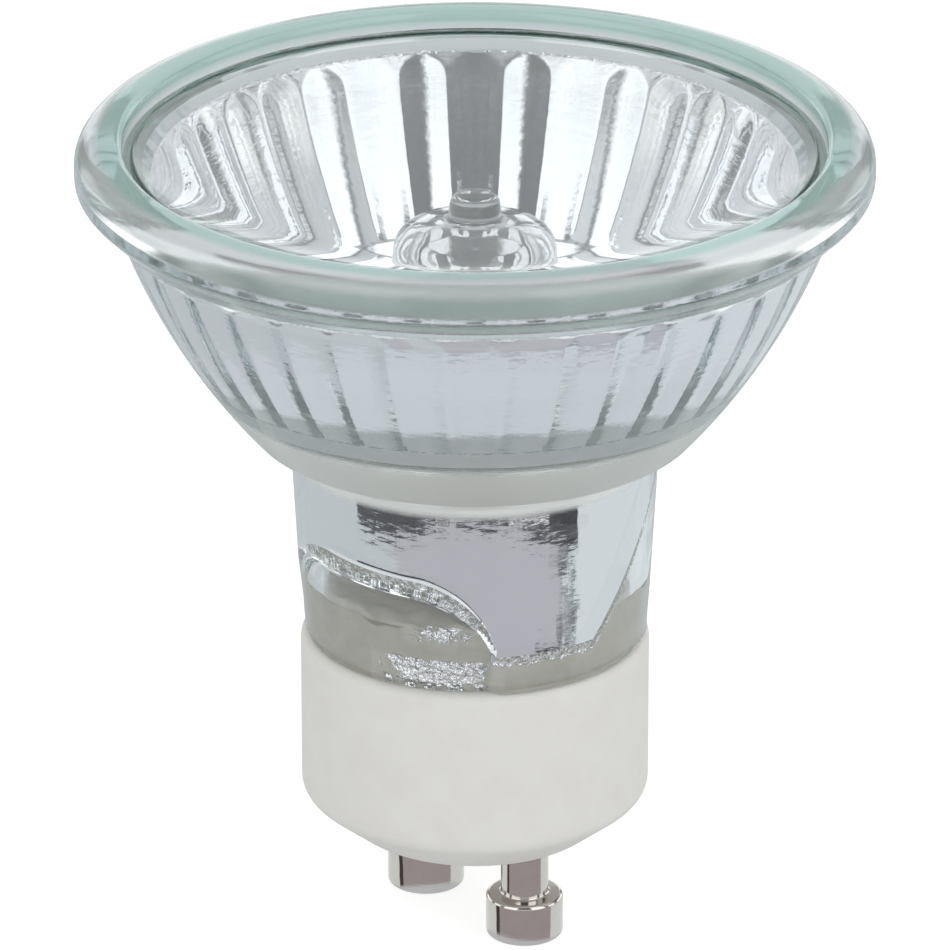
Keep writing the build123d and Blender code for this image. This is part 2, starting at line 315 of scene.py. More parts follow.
@dataclass(frozen=True)
class ClearGlass:
    """Glass without a film: float glass, fused quartz or clear silicone."""

    name: str
    ior: float
    tint: str
    tint_per_m: float
    rough: float = 0.0
    ripple_size: float = 5.0
    ripple_height: float = 0.002
    edge_r: float = 99.0
    edge_w: float = 0.3
    edge_tint: str = "#FFFFFF"
    milk: float = 0.0

    def material(self) -> bpy.types.Material:
        """Builds the material: clear, with a faint ripple, a tint that grows with thickness and a tinted edge.

        Returns:
            The material.
        """
        material, tree, shader = new_material(self.name)
        place = own_place(tree)
        ripple = grain(tree, place, self.ripple_size, 2.0)
        # A cut edge gathers the colour of all the glass behind it.
        edge = level(tree, from_axis(tree, place), (self.edge_r - self.edge_w, self.edge_r))
        colour = blend(tree, edge, WHITE, linear(self.edge_tint))
        plug(tree, shader, {"Base Color": colour, "Normal": relief(tree, ripple, self.ripple_height)})
        shader.inputs["Roughness"].default_value = self.rough
        shader.inputs["IOR"].default_value = self.ior
        shader.inputs["Transmission Weight"].default_value = 1.0 - self.milk
        absorb(tree, self.tint, self.tint_per_m)
        return material


@dataclass(frozen=True)
class Earthen:
    """A dry, fired or set mineral, such as unglazed steatite or lamp cement."""

    name: str
    pale: str
    dark: str
    mottle_size: float
    grain_size: float
    grain_height: float
    rough: float
    rough_range: float = 0.08
    relief_strength: float = 0.6
    spots_at: Point = (0.62, 0.74)
    spots_share: float = 0.5
    patches_at: Point = (0.35, 0.7)
    patches_share: float = 0.55

    def material(self) -> bpy.types.Material:
        """Builds the material: a matt ground, cloudy patches, fine specks and a grain to the touch.

        Returns:
            The material.
        """
        material, tree, shader = new_material(self.name)
        place = own_place(tree)
        cloud = grain(tree, place, self.mottle_size, 6.0, 0.6)
        speck = grain(tree, place, self.grain_size, 3.0)
        spots = spread(tree, speck, *self.spots_at, 0.0, self.spots_share)
        patches = spread(tree, cloud, *self.patches_at, 0.0, self.patches_share)
        share = maths(tree, "MAXIMUM", spots, patches)
        colour = blend(tree, share, linear(self.pale), linear(self.dark))
        rough = spread(tree, cloud, 0.0, 1.0, self.rough - self.rough_range, self.rough + self.rough_range)
        normal = relief(tree, speck, self.grain_height, self.relief_strength)
        plug(tree, shader, {"Base Color": colour, "Roughness": rough, "Normal": normal})
        return material


@dataclass(frozen=True)
class TurnedMetal:
    """Metal that was turned or drawn: fine lines round it, and rings on its end."""

    name: str
    bright: str
    dull: str
    rough: float
    line_size: float
    line_height: float
    axis_x: float = 0.0
    cloud_size: float = 1.2
    rough_range: Point = (0.7, 1.3)
    relief_strength: float = 0.5

    def material(self) -> bpy.types.Material:
        """Builds the material: tool marks that break the reflections, and a slight unevenness of the plating.

        Returns:
            The material.
        """
        material, tree, shader = new_material(self.name)
        place = own_place(tree)
        shift = {0: place, 1: (self.axis_x * MM, 0.0, 0.0)}
        centred = add_node(tree, "ShaderNodeVectorMath", shift, operation="SUBTRACT").outputs[0]
        height = add_node(tree, "ShaderNodeSeparateXYZ", {0: centred}).outputs[2]
        # On a side the radius stands still and on an end the height does, so one sum draws both kinds of line.
        along = maths(tree, "ADD", from_axis(tree, centred), height)
        marks = tool_lines(tree, along, self.line_size, 3.0)
        cloud = grain(tree, place, self.cloud_size, 4.0)
        colour = blend(tree, cloud, linear(self.bright), linear(self.dull))
        rough = spread(tree, marks, 0.0, 1.0, *(self.rough * share for share in self.rough_range))
        normal = relief(tree, marks, self.line_height, self.relief_strength)
        plug(tree, shader, {"Base Color": colour, "Roughness": rough, "Normal": normal})
        shader.inputs["Metallic"].default_value = 1.0
        return material


def rounded(corners: list[Corner], steps: int = 6) -> list[Point]:
    """Rounds the corners of a profile.

    Args:
        corners: Radius, height and corner radius of each point.
        steps: Points less one on each round.

    Returns:
        The profile's points, with an arc in place of each corner that has a radius.
    """
    points: list[Point] = []
    for i, (r, z, radius) in enumerate(corners):
        if radius <= 0 or i in (0, len(corners) - 1):
            points.append((r, z))
            continue
        corner = Vector((r, z))
        back = (Vector(corners[i - 1][:2]) - corner).normalized()
        ahead = (Vector(corners[i + 1][:2]) - corner).normalized()
        half = math.acos(max(-1.0, min(1.0, back.dot(ahead)))) / 2
        middle = corner + (back + ahead).normalized() * (radius / math.sin(half))
        start = corner + back * (radius / math.tan(half)) - middle
        end = corner + ahead * (radius / math.tan(half)) - middle
        turn = start.angle_signed(end)
        for k in range(steps + 1):
            cos, sin = math.cos(-turn * k / steps), math.sin(-turn * k / steps)
            points.append((middle.x + start.x * cos - start.y * sin, middle.y + start.x * sin + start.y * cos))
    return points


def divided(points: list[Point], spacing: Callable[[float, float], float]) -> list[Point]:
    """Divides the long runs of a profile.

    Args:
        points: The profile.
        spacing: Gives the longest step allowed at a radius and height.

    Returns:
        The profile with points added between its own.
    """
    out = [points[0]]
    for (r0, z0), (r1, z1) in zip(points, points[1:]):
        length = math.hypot(r1 - r0, z1 - z0)
        count = max(1, math.ceil(length / spacing((r0 + r1) / 2, (z0 + z1) / 2)))
        out += [(r0 + (r1 - r0) * k / count, z0 + (z1 - z0) * k / count) for k in range(1, count + 1)]
    return out


def draw(name: str, points: list[Corner]) -> Piece:
    """Draws a line vertex by vertex and leaves it selected in edit mode.

    Args:
        name: The new object's name.
        points: The places in millimetres.

    Returns:
        The object, with its origin at the lamp's.
    """
    bpy.ops.object.select_all(action="DESELECT")
    bpy.ops.mesh.primitive_plane_add(size=MM, location=tuple(part * MM for part in points[0]))
    piece = bpy.context.object
    piece.name = name
    bpy.ops.object.transform_apply(location=True)
    bpy.ops.object.mode_set(mode="EDIT")
    bpy.ops.mesh.select_all(action="SELECT")
    bpy.ops.mesh.merge(type="CENTER")
    for start, end in zip(points, points[1:]):
        move = tuple((b - a) * MM for a, b in zip(start, end))
        bpy.ops.mesh.extrude_vertices_move(TRANSFORM_OT_translate={"value": move})
    bpy.ops.mesh.select_all(action="SELECT")
    return piece


def turned(name: str, profile: list[Point], steps: int) -> Piece:
    """Models a round piece: draws its profile and spins it round the lamp's axis.

    Args:
        name: The piece's name.
        profile: Radii and heights. It is closed by repeating its first point or ends on the axis.
        steps: Faces around.

    Returns:
        The piece, with its doubles merged and its faces pointing outwards.
    """
    piece = draw(name, [(r, 0.0, z) for r, z in profile])
    bpy.ops.mesh.spin(steps=steps, angle=math.tau, center=(0.0, 0.0, 0.0), axis=(0.0, 0.0, 1.0))
    bpy.ops.mesh.select_all(action="SELECT")
    bpy.ops.mesh.remove_doubles(threshold=MERGE * MM)
    bpy.ops.mesh.normals_make_consistent(inside=False)
    bpy.ops.object.mode_set(mode="OBJECT")
    return piece


def vertices(piece: Piece) -> np.ndarray:
    """Places of a piece's vertices in millimetres, one row each."""
    flat = np.empty(len(piece.data.vertices) * 3, np.float32)
    piece.data.vertices.foreach_get("co", flat)
    return flat.reshape(-1, 3).astype(float) / MM


def move_vertices(piece: Piece, places: np.ndarray) -> None:
    """Puts a piece's vertices at the given places in millimetres."""
    piece.data.vertices.foreach_set("co", (places * MM).astype(np.float32).ravel())
    piece.data.update()


def take_apart(places: np.ndarray) -> tuple[np.ndarray, np.ndarray, np.ndarray]:
    """Radius, angle in degrees and height of each place."""
    return np.hypot(places[:, 0], places[:, 1]), np.degrees(np.arctan2(places[:, 1], places[:, 0])), places[:, 2]


def put_together(radius: np.ndarray, angle: np.ndarray, height: np.ndarray) -> np.ndarray:
    """Places from radius, angle in degrees and height."""
    turn = np.radians(angle)
    return np.column_stack((radius * np.cos(turn), radius * np.sin(turn), height))


def choose(*pieces: Piece) -> Piece:
    """Selects only the given pieces and makes the first one active.

    Args:
        pieces: The pieces.

    Returns:
        The active piece.
    """
    bpy.ops.object.select_all(action="DESELECT")
    for piece in pieces:
        piece.select_set(True)
    bpy.context.view_layer.objects.active = pieces[0]
    return pieces[0]


def turn_inside_out(piece: Piece) -> None:
    """Makes a mesh the wall of a hollow, with its faces pointing into it.

    Args:
        piece: The mesh.
    """
    choose(piece)
    bpy.ops.object.mode_set(mode="EDIT")
    bpy.ops.mesh.select_all(action="SELECT")
    bpy.ops.mesh.flip_normals()
    bpy.ops.object.mode_set(mode="OBJECT")


def finish_piece(
    piece: Piece, material: bpy.types.Material, nodes: list[str], crease: float = 30.0
) -> Piece:
    """Smooths a piece, dresses it and ties it to the CAD model.

    Args:
        piece: The piece.
        material: Its finish.
        nodes: The CAD nodes that it stands for.
        crease: Angle in degrees above which an edge stays sharp.

    Returns:
        The piece.
    """
    choose(piece)
    bpy.ops.object.shade_smooth_by_angle(angle=math.radians(crease))
    piece.data.materials.clear()
    piece.data.materials.append(material)
    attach(piece, BODY)
    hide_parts(*nodes)
    LOG.info("%s: %d faces", piece.name, len(piece.data.polygons))
    return piece


@dataclass
class Reflector:
    """Pressed glass reflector: rim, reeded bowl and grooved neck in one piece."""

    rim_r: float = 25.35
    rim_top: float = 54.0
    rim_foot: float = 51.4
    rim_root_r: float = 22.72
    rim_root: float = 48.8
    rim_root_round: float = 0.5
    rim_under_round: float = 0.8
    rim_top_round: float = 1.6
    rim_inner_round: float = 0.5
    seat_r: float = 22.3
    seat: float = 51.1
    seat_round: float = 0.15
    seat_inner_r: float = 20.95
    seat_inner_round: float = 0.1
    reed_top: float = 50.5
    runout: float = 1.8
    reeds: int = 36
    reed_depth: float = 0.19
    reed_blunt: float = 0.03
    ring_top: float = 40.0
    ring_step: float = 0.1
    floor: float = 38.8
    bowl_foot_r: float = 14.4
    bowl_foot: float = 34.7
    bowl_foot_round: float = 0.4
    curve_r: float = 43.0
    wall: float = 3.0
    neck_head_r: float = 11.9
    neck_head_round: float = 1.9
    neck_foot_r: float = 11.1
    neck_foot: float = 20.1
    neck_foot_round: float = 0.35
    bore_r: float = 9.8
    bore_round: float = 0.5
    groove_span: float = 106.0
    groove_stop: float = 329.0
    groove_clear: float = 2.0
    mouth_h: float = 7.9
    mouth_depth: float = 0.12
    mouth_round: float = 7.6
    stop_h: float = 7.0
    stop_depth: float = 0.65
    stop_round: float = 6.2
    bank: float = 1.0
    film_over_reeds: float = 0.06
    film_steepness: float = 8.0
    film_head: float = 34.8
    film_end: float = 21.9
    film_drop: float = 0.4
    bare_start: float = 4.0
    bare_span: float = 46.0
    bare_foot: float = 21.5
    bare_rise: float = 0.21
    # First and last angle, foot and head of each patch of crumbs, then how its coat rises from its edge.
    crumbs: tuple[tuple[float, float, float, float], ...] = ((280.0, 330.0, 19.9, 22.4), (293.0, 323.0, 23.0, 24.8))
    crumb_mm_per_deg: float = 0.04
    crumb_rise: float = 0.6
    crumb_most: float = 0.35
    crumb_sunk: float = 0.2
    # Longest steps of the mesh: on the grooved neck, in the bore and elsewhere.
    neck_step: float = 0.2
    neck_step_to: float = 32.5
    bore_step: float = 0.4
    plain_step: float = 1.2
    steps: int = 360
    crease: float = 24.0

    def __post_init__(self) -> None:
        """Works out the centre of the arc that shapes the bowl."""
        run, rise = self.rim_root_r - self.bowl_foot_r, self.rim_root - self.bowl_foot
        chord = math.hypot(run, rise)
        back = math.sqrt(self.curve_r**2 - chord**2 / 4)
        self.arc_r = (self.bowl_foot_r + self.rim_root_r) / 2 - back * rise / chord
        self.arc_z = (self.bowl_foot + self.rim_root) / 2 + back * run / chord

    def bowl_radius(self, z: np.ndarray | float, depth: float) -> np.ndarray | float:
        """Radius of the surface that lies depth inside the bowl's outer face, at height z."""
        return self.arc_r + np.sqrt((self.curve_r - depth) ** 2 - (z - self.arc_z) ** 2)

    def on_bowl(self, heights: np.ndarray | list[float], depth: float) -> list[Corner]:
        """Plain corners on the surface that lies depth inside the bowl's outer face."""
        return [(float(self.bowl_radius(float(z), depth)), float(z), 0.0) for z in heights]

    def profile(self) -> list[Point]:
        """Draws the section of the glass, from the bore's foot round the outside and back down the inside.

        Returns:
            A closed run of radii and heights.
        """
        outer = np.linspace(self.bowl_foot, self.rim_root, 22)[1:-1]
        inner = list(np.linspace(self.ring_top + self.ring_step, self.reed_top - self.runout, 26))
        inner += list(np.linspace(self.reed_top - self.runout, self.reed_top, 17)[1:])
        ring = np.linspace(self.ring_top, self.floor, 4)
        corners = [(self.bore_r, self.neck_foot, 0.0), (self.neck_foot_r, self.neck_foot, self.neck_foot_round)]
        corners += [(self.neck_head_r, self.bowl_foot, self.neck_head_round)]
        corners += [(self.bowl_foot_r, self.bowl_foot, self.bowl_foot_round)]
        corners += self.on_bowl(outer, 0.0)
        corners += [(self.rim_root_r, self.rim_root, self.rim_root_round)]
        corners += [(self.rim_r, self.rim_foot, self.rim_under_round)]
        corners += [(self.rim_r, self.rim_top, self.rim_top_round)]
        corners += [(self.seat_r, self.rim_top, self.rim_inner_round), (self.seat_r, self.seat, self.seat_round)]
        corners += [(self.seat_inner_r, self.seat, self.seat_inner_round)]
        corners += self.on_bowl(inner[::-1], self.wall)
        corners += self.on_bowl(ring, self.wall + self.reed_depth + self.ring_step)
        corners += [(self.bore_r, self.floor, self.bore_round), (self.bore_r, self.neck_foot, 0.0)]
        return divided(rounded(corners, 7), self.spacing)

    def spacing(self, r: float, z: float) -> float:
        """Longest step of the profile at a radius and height: short on the neck, where the grooves are.

        Args:
            r: The radius.
            z: The height.

        Returns:
            The step.
        """
        on_neck = r > self.bore_r + 0.5 and self.neck_foot < z < self.neck_step_to
        in_bore = r < self.bore_r + 0.1 and self.neck_foot < z < self.floor
        return self.neck_step if on_neck else self.bore_step if in_bore else self.plain_step

    def groove_place(self, angle: np.ndarray) -> tuple[np.ndarray, np.ndarray]:
        """Finds where an angle lies along the groove that it is in.

        Args:
            angle: Angles round the axis in degrees.

        Returns:
            The share of the way from mouth to stop, over 1 outside a groove, and the height of the groove's edge.
        """
        behind = np.mod(self.groove_stop - angle, 180.0)
        along = np.where(behind <= self.groove_span, 1 - behind / self.groove_span, 2.0)
        inside = np.clip(along, 0, 1)
        length = math.radians(self.groove_span) * self.neck_foot_r
        edge = self.neck_foot + self.mouth_h + (self.stop_h - self.mouth_h) * inside
        for distance, radius in ((inside * length, self.mouth_round), ((1 - inside) * length, self.stop_round)):
            edge -= radius - np.sqrt(radius**2 - np.maximum(0, radius - distance) ** 2)
        return along, edge

    def press_reeds(self, places: np.ndarray) -> np.ndarray:
        """Presses the reeds into the inside of the bowl.

        Args:
            places: Vertices of the plain bowl.

        Returns:
            The vertices with the reeds, which run out in arches below the seat.
        """
        r, a, z = take_apart(places)
        step = 360 / self.reeds
        off = np.radians(np.mod(a + step / 2, step) - step / 2)
        land = self.bowl_radius(np.minimum(z, self.reed_top), self.wall)
        flare = self.reed_depth * np.maximum(0, (z - self.reed_top + self.runout) / self.runout) ** 2
        valley = land + self.reed_blunt + flare
        crest = self.bowl_radius(np.minimum(z, self.reed_top), self.wall + self.reed_depth) + flare
        half = math.radians(step / 2)
        rise = valley * math.cos(half) - crest
        curve = ((valley * math.sin(half)) ** 2 + rise**2) / (2 * np.maximum(rise, 1e-6))
        centre = crest + curve
        reed = centre * np.cos(off) - np.sqrt(np.maximum(curve**2 - (centre * np.sin(off)) ** 2, 0))
        inside = (np.abs(r - land) < TOUCH) & (z > self.floor - TOUCH) & (z < self.reed_top + TOUCH)
        return put_together(np.where(inside, np.minimum(land, reed), r), a, z)

    def press_grooves(self, places: np.ndarray) -> np.ndarray:
        """Sinks the ramped grooves into the neck.

        Args:
            places: Vertices of the plain neck.

        Returns:
            The vertices with the grooves.
        """
        r, a, z = take_apart(places)
        along, edge = self.groove_place(a)
        depth = self.mouth_depth + (self.stop_depth - self.mouth_depth) * np.clip(along, 0, 1)
        to_stop = (1 - along) * math.radians(self.groove_span) * self.neck_foot_r
        sunk = depth * fade(np.minimum(edge - z, to_stop), 0.0, self.bank)
        below_bowl = z < self.bowl_foot - self.groove_clear
        on_neck = (r > self.neck_foot_r - 0.5) & below_bowl & (z > self.neck_foot - TOUCH)
        return put_together(np.where(on_neck & (along <= 1), r - sunk, r), a, z)

    def film(self, places: np.ndarray) -> np.ndarray:
        """Works out how far inside the edge of the mirror film each vertex lies.

        Args:
            places: The vertices.

        Returns:
            Millimetres inside the film, negative on bare glass.
        """
        r, a, z = take_apart(places)
        in_bowl = (r < self.bowl_radius(z, self.wall - 1.0)) & (z > self.floor - 0.55) & (z < self.seat + TOUCH)
        in_bore = (np.abs(r - self.bore_r) < 2 * TOUCH) & (z <= self.floor - self.bore_round)
        along, edge = self.groove_place(a)
        to_stop = (1 - along) * math.radians(self.groove_span) * self.bore_r
        above = np.where(along <= 1, np.maximum(z - edge + self.film_drop, -to_stop), Coat.FILM.value)
        # Beside each groove the film stops at a slant, where the mask covered the glass.
        slant = np.mod(a - self.bare_start, 180.0)
        beside = np.where(slant < self.bare_span, z - self.bare_foot - self.bare_rise * slant, Coat.FILM.value)
        bore = np.minimum(np.minimum(z - self.film_end, self.film_head - z), np.minimum(above, beside))
        # Under the film's edge some crumbs of it are left on the glass.
        turn = np.mod(a, 360.0)
        for start, end, low, high in self.crumbs:
            across = np.minimum(turn - start, end - turn) * self.crumb_mm_per_deg
            reach = np.minimum(across, np.minimum(z - low, high - z))
            coat = np.minimum(reach * self.crumb_rise, self.crumb_most) - self.crumb_sunk
            bore = np.maximum(bore, np.where(reach > 0, coat, Coat.BARE.value))
        bowl = np.minimum(Coat.FILM.value, (self.reed_top + self.film_over_reeds - z) * self.film_steepness)
        coat = np.where(in_bowl, bowl, np.where(in_bore, bore, Coat.BARE.value))
        return np.clip(coat, Coat.BARE.value, Coat.FILM.value)

    def build(self) -> Piece:
        """Models the glass and notes where the film is.

        Returns:
            The reflector.
        """
        piece = turned("reflector_glass", self.profile(), self.steps)
        plain = vertices(piece)
        move_vertices(piece, self.press_grooves(self.press_reeds(plain)))
        coat = piece.data.attributes.new("coat", "FLOAT", "POINT")
        coat.data.foreach_set("value", self.film(plain).astype(np.float32))
        return finish_piece(piece, PressedGlass().material(), ["reflector"], self.crease)


@dataclass
class Cover:
    """Flat cover glass and the bead of silicone that holds it in the rim."""

    radius: float = 21.8
    foot: float = 51.12
    thick: float = 1.98
    edge: float = 0.25
    seat_r: float = 22.3
    bead_h: float = 1.6
    bead_sag: float = 0.2
    bead_tilt: float = 0.05
    gap: float = 0.02
    mesh_step: float = 4.0
    steps: int = 180

    def build(self) -> list[Piece]:
        """Models the glass and its bead.

        Returns:
            The two pieces.
        """
        top = self.foot + self.thick
        corners = [(0.0, self.foot, 0.0), (self.radius, self.foot, self.edge)]
        corners += [(self.radius, top, self.edge), (0.0, top, 0.0)]
        glass = turned("cover_glass_disc", divided(rounded(corners), lambda r, z: self.mesh_step), self.steps)
        edge_r = self.radius - 0.1
        float_glass = ClearGlass("float_glass", 1.52, "#D5F2E8", 30.0, edge_r=edge_r, edge_tint="#F0F9F6")
        finish_piece(glass, float_glass.material(), ["cover_glass"])
        inner, outer, foot = self.radius + self.gap, self.seat_r - self.gap, self.foot + self.gap
        head = self.foot + self.bead_h
        ring = [(inner, foot), (outer, foot), (outer, head), ((inner + outer) / 2, head - self.bead_sag)]
        ring += [(inner, head - self.bead_tilt), (inner, foot)]
        bead = turned("cover_bead_ring", ring, self.steps)
        silicone = ClearGlass(
            "clear_silicone", 1.41, "#DDF3EC", 20.0, 0.3, 1.5, 0.02, self.radius, edge_tint="#EAF7F4", milk=0.5
        )
        finish_piece(bead, silicone.material(), ["cover_bead"])
        return [glass, bead]


@dataclass
class Burner:
    """Quartz capsule with its coiled filament, the light source of the lamp."""

    radius: float = 5.2
    wall: float = 1.0
    tube_foot: float = 33.6
    dome_foot: float = 45.9
    dome_h: float = 1.3
    dome_round: float = 1.6
    tip_r: float = 1.7
    tip_h: float = 1.5
    tip_taper: float = 0.15
    tip_round: float = 0.7
    tip_clear: float = 0.7
    tip_sink: float = 0.1
    tip_root_round: float = 0.5
    throat: float = 2.6
    pinch_foot: float = 19.5
    pinch_w: float = 8.8
    pinch_t: float = 3.4
    pinch_round: float = 0.5
    pinch_squareness: float = 0.4
    hollow_w: float = 7.0
    hollow_t: float = 1.6
    hollow_head: float = 0.4
    hollow_shoulder: float = 1.2
    hollow_round: float = 0.8
    hollow_foot: float = 2.2
    mesh_step: float = 0.6
    limb_x: float = 2.3
    leg_foot: float = 28.5
    leg_gap: float = 0.3
    coil_foot: float = 33.8
    coil_head: float = 40.8
    coil_r: float = 0.35
    wire_r: float = 0.1
    pitch: float = 0.34
    points_a_turn: int = 12
    steps: int = 96

    def squeeze(self, places: np.ndarray, width: float, thick: float, head: float, foot: float) -> np.ndarray:
        """Flattens the lower end of a tube, as the press does when it seals the quartz.

        Args:
            places: Vertices of the round tube.
            width: Width of the flattened end.
            thick: Thickness of the flattened end.
            head: Height where the flattening starts.
            foot: Height where it is complete.

        Returns:
            The vertices of the pinched tube.
        """
        r, a, z = take_apart(places)
        cos, sin = np.cos(np.radians(a)), np.sin(np.radians(a))
        x = width / 2 * np.sign(cos) * np.abs(cos) ** self.pinch_squareness
        y = thick / 2 * np.sign(sin) * np.abs(sin) ** self.pinch_squareness
        scale = r / float(r.max())
        flat = np.column_stack((x * scale, y * scale, z))
        return places + (flat - places) * fade(head - z, 0.0, head - foot)[:, None]

    def dome(self, radius: float, foot: float, corner: float) -> list[Corner]:
        """Corners of the capsule's dome, from the tube to the axis.

        Args:
            radius: Radius of the tube.
            foot: Height where the dome springs from the tube.
            corner: Radius of the shoulder.

        Returns:
            Radius, height and corner radius of each point.
        """
        curve = (radius**2 + self.dome_h**2) / (2 * self.dome_h)
        centre = foot + self.dome_h - curve
        cap = [(r, centre + math.sqrt(curve**2 - r**2), 0.0) for r in (radius * k / 8 for k in range(7))]
        return [(radius, foot, corner)] + cap[::-1]

    def blow(self, name: str, corners: list[Corner]) -> Piece:
        """Models one wall of the capsule as a round tube."""
        return turned(name, divided(rounded(corners), lambda r, z: self.mesh_step), self.steps)

    def build(self) -> list[Piece]:
        """Models the capsule and the filament.

        Returns:
            The two pieces.
        """
        top, pinch_head = self.dome_foot + self.dome_h, self.tube_foot - self.throat
        corners = [(0.0, self.pinch_foot, 0.0), (self.radius, self.pinch_foot, self.pinch_round)]
        shell = self.dome(self.radius, self.dome_foot, self.dome_round)
        corners += [corner for corner in shell if corner[0] > self.tip_r + self.tip_clear]
        corners += [(self.tip_r, top - self.tip_sink, self.tip_root_round)]
        corners += [(self.tip_r - self.tip_taper, top + self.tip_h, self.tip_round), (0.0, top + self.tip_h, 0.0)]
        outside = self.blow("capsule_quartz", corners)
        pressed = self.squeeze(vertices(outside), self.pinch_w, self.pinch_t, self.tube_foot, pinch_head)
        move_vertices(outside, pressed)
        bore, hollow_foot = self.radius - self.wall, self.tube_foot - self.hollow_foot
        hollow = [(0.0, hollow_foot, 0.0), (bore, self.tube_foot - self.hollow_shoulder, self.hollow_round)]
        hollow += self.dome(bore, self.dome_foot - self.wall, self.dome_round * bore / self.radius)
        inside = self.blow("capsule_hollow", hollow)
        head = self.tube_foot + self.hollow_head
        move_vertices(inside, self.squeeze(vertices(inside), self.hollow_w, self.hollow_t, head, hollow_foot))
        turn_inside_out(inside)
        capsule = choose(outside, inside)
        bpy.ops.object.join()
        quartz = ClearGlass("fused_quartz", 1.46, "#E8EEF0", 8.0, ripple_size=1.6, ripple_height=0.02, milk=0.07)
        finish_piece(capsule, quartz.material(), ["capsule"], 40.0)
        return [capsule, self.filament()]

    def winding(self) -> list[Corner]:
        """Route of the wire: up one leg, a helix up one limb, over the arch and down the other, down a leg.

        Returns:
            Places along the wire.
        """
        rise = self.coil_head - self.coil_foot
        length = 2 * rise + math.pi * self.limb_x
        leg_head = self.coil_foot - self.leg_gap
        points = [(-self.limb_x, 0.0, self.leg_foot), (-self.limb_x, 0.0, leg_head)]
        for k in range(int(length / self.pitch * self.points_a_turn) + 1):
            s = k / self.points_a_turn * self.pitch
            if s < rise:
                centre, out = (-self.limb_x, self.coil_foot + s), (-1.0, 0.0)
            elif s < length - rise:
                turn = math.pi - (s - rise) / self.limb_x
                out = (math.cos(turn), math.sin(turn))
                centre = (self.limb_x * out[0], self.coil_head + self.limb_x * out[1])
            else:
                centre, out = (self.limb_x, self.coil_foot + length - s), (1.0, 0.0)
            swing = math.tau * k / self.points_a_turn
            reach = self.coil_r * math.cos(swing)
            points.append((centre[0] + out[0] * reach, self.coil_r * math.sin(swing), centre[1] + out[1] * reach))
        return points + [(self.limb_x, 0.0, leg_head), (self.limb_x, 0.0, self.leg_foot)]

    def filament(self) -> Piece:
        """Winds the filament of fine wire.

        Returns:
            The filament.
        """
        points = self.winding()
        curve = bpy.data.curves.new("filament_coil", "CURVE")
        curve.dimensions = "3D"
        curve.bevel_depth = self.wire_r * MM
        curve.bevel_resolution = 1
        curve.use_fill_caps = True
        spline = curve.splines.new("POLY")
        spline.points.add(len(points) - 1)
        for slot, (x, y, z) in zip(spline.points, points):
            slot.co = (x * MM, y * MM, z * MM, 1.0)
        wire = bpy.data.objects.new("filament_coil", curve)
        bpy.context.scene.collection.objects.link(wire)
        choose(wire)
        bpy.ops.object.convert(target="MESH")
        tungsten = TurnedMetal("drawn_tungsten", "#8F8F94", "#6A6A70", 0.35, 0.1, 0.004)
        return finish_piece(bpy.context.object, tungsten.material(), ["filament"], 60.0)


